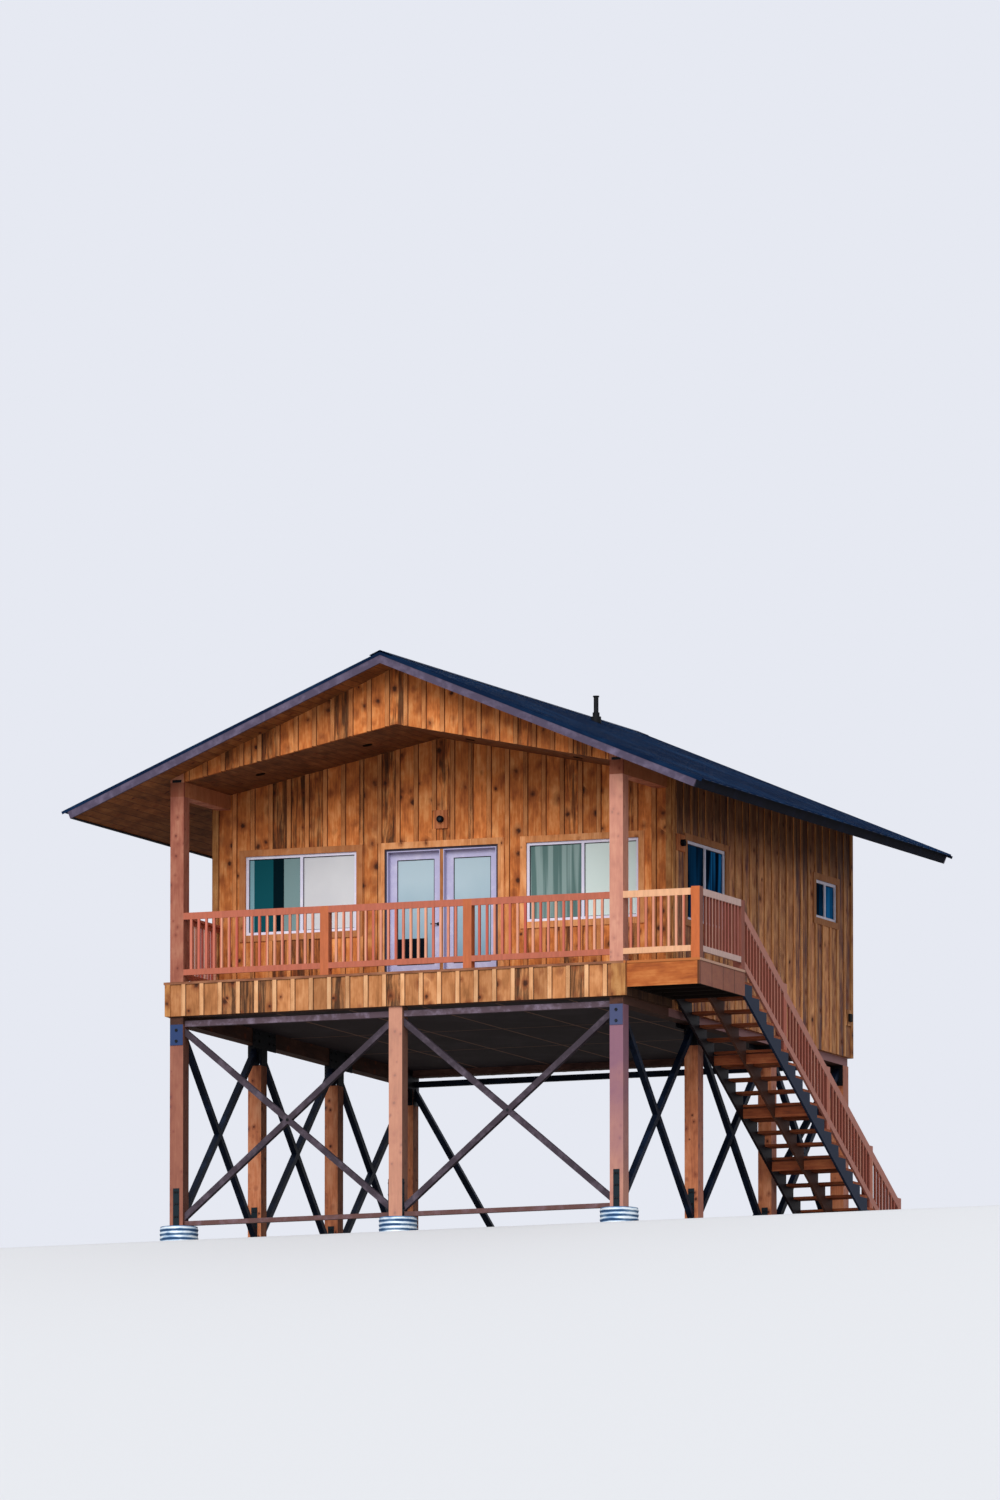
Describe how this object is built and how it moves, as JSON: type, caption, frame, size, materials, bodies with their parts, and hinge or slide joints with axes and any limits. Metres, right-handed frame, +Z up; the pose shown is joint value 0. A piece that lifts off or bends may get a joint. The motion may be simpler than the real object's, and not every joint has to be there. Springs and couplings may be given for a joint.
{
  "type": "fire lookout tower",
  "caption": "Raised timber lookout cabin on braced posts, with a gabled porch, paired glazed doors that swing, a side landing and an open stair under a ribbed metal roof.",
  "frame": {"origin": "on the ground under the middle of the roof", "axes": "+X to the right seen from the porch, +Y from the porch to the rear wall, +Z up"},
  "size_m": [10.6594, 10.534, 9.0276],
  "materials": {
    "corrugated_form": "weathered galvanised form",
    "glulam": "sealed glued timber",
    "beam_timber": "rough sawn",
    "siding": "rough sawn, oiled",
    "siding_trim": "rough sawn, oiled",
    "brace_steel": "bare mill finish",
    "dark_steel": "black paint",
    "blue_steel": "bare mill finish",
    "panel": "dark painted sheet",
    "deck_boards": "weathered",
    "floor_boards": "satin",
    "ceiling_boards": "oiled",
    "vinyl": "satin",
    "glass": "clear",
    "black_metal": "satin black",
    "door_paint": "satin paint",
    "roof_timber": "rough sawn",
    "roof_metal": "satin coated",
    "painted_trim": "satin paint",
    "rail_timber": "stained",
    "tread_timber": "stained"
  },
  "bodies": {
    "root": {"piers": "corrugated_form", "front_posts": "glulam", "side_posts": "glulam", "steel_plates": "blue_steel", "front_braces": "brace_steel", "left_braces": "dark_steel", "right_braces": "dark_steel", "back_braces": "dark_steel", "front_struts": "brace_steel", "side_beams": "beam_timber", "end_beams": "beam_timber", "underside_panel": "panel", "floor_platform": "beam_timber", "porch_deck": "deck_boards", "room_floor": "floor_boards", "front_skirt": "siding", "side_skirts": "siding", "rear_skirt": "siding", "porch_posts": "glulam", "porch_beams": "glulam", "gable_face": "siding", "porch_ceiling": "ceiling_boards", "room_ceiling": "ceiling_boards", "front_wall_left": "siding", "front_wall_right": "siding", "front_wall_head": "siding", "left_wall": "siding", "right_wall": "siding", "rear_wall": "siding", "window_frames": "vinyl", "window_glass": "glass", "casings": "siding_trim", "door_frame": "siding_trim", "door_hinges": "black_metal", "roof_left": "roof_timber", "roof_right": "roof_timber", "roof_metal_left": "roof_metal", "roof_metal_right": "roof_metal", "ridge_cap": "roof_metal", "barge_boards": "painted_trim", "eave_fascias": "painted_trim", "vent_pipe": "black_metal", "porch_rails": "rail_timber", "landing_frame": "rail_timber", "landing_deck": "deck_boards", "landing_rails": "rail_timber", "stair_stringers": "dark_steel", "stair_treads": "tread_timber", "stair_rails": "rail_timber", "stair_blocks": "tread_timber", "lights": "black_metal", "outlet": "siding_trim"},
    "left_door_leaf": {"left_door": "door_paint", "left_door_glass": "glass", "door_handle": "black_metal"},
    "right_door_leaf": {"right_door": "door_paint", "right_door_glass": "glass"}
  },
  "joints": [
    {"name": "left_door_hinge", "type": "hinge", "parent": "root", "child": "left_door_leaf", "pos_m": [-0.909, -2.647, 5.1], "axis": [0, 0, 1], "range_deg": [0, 100]},
    {"name": "right_door_hinge", "type": "hinge", "parent": "root", "child": "right_door_leaf", "pos_m": [0.909, -2.647, 5.1], "axis": [0, 0, -1], "range_deg": [0, 100]}
  ]
}
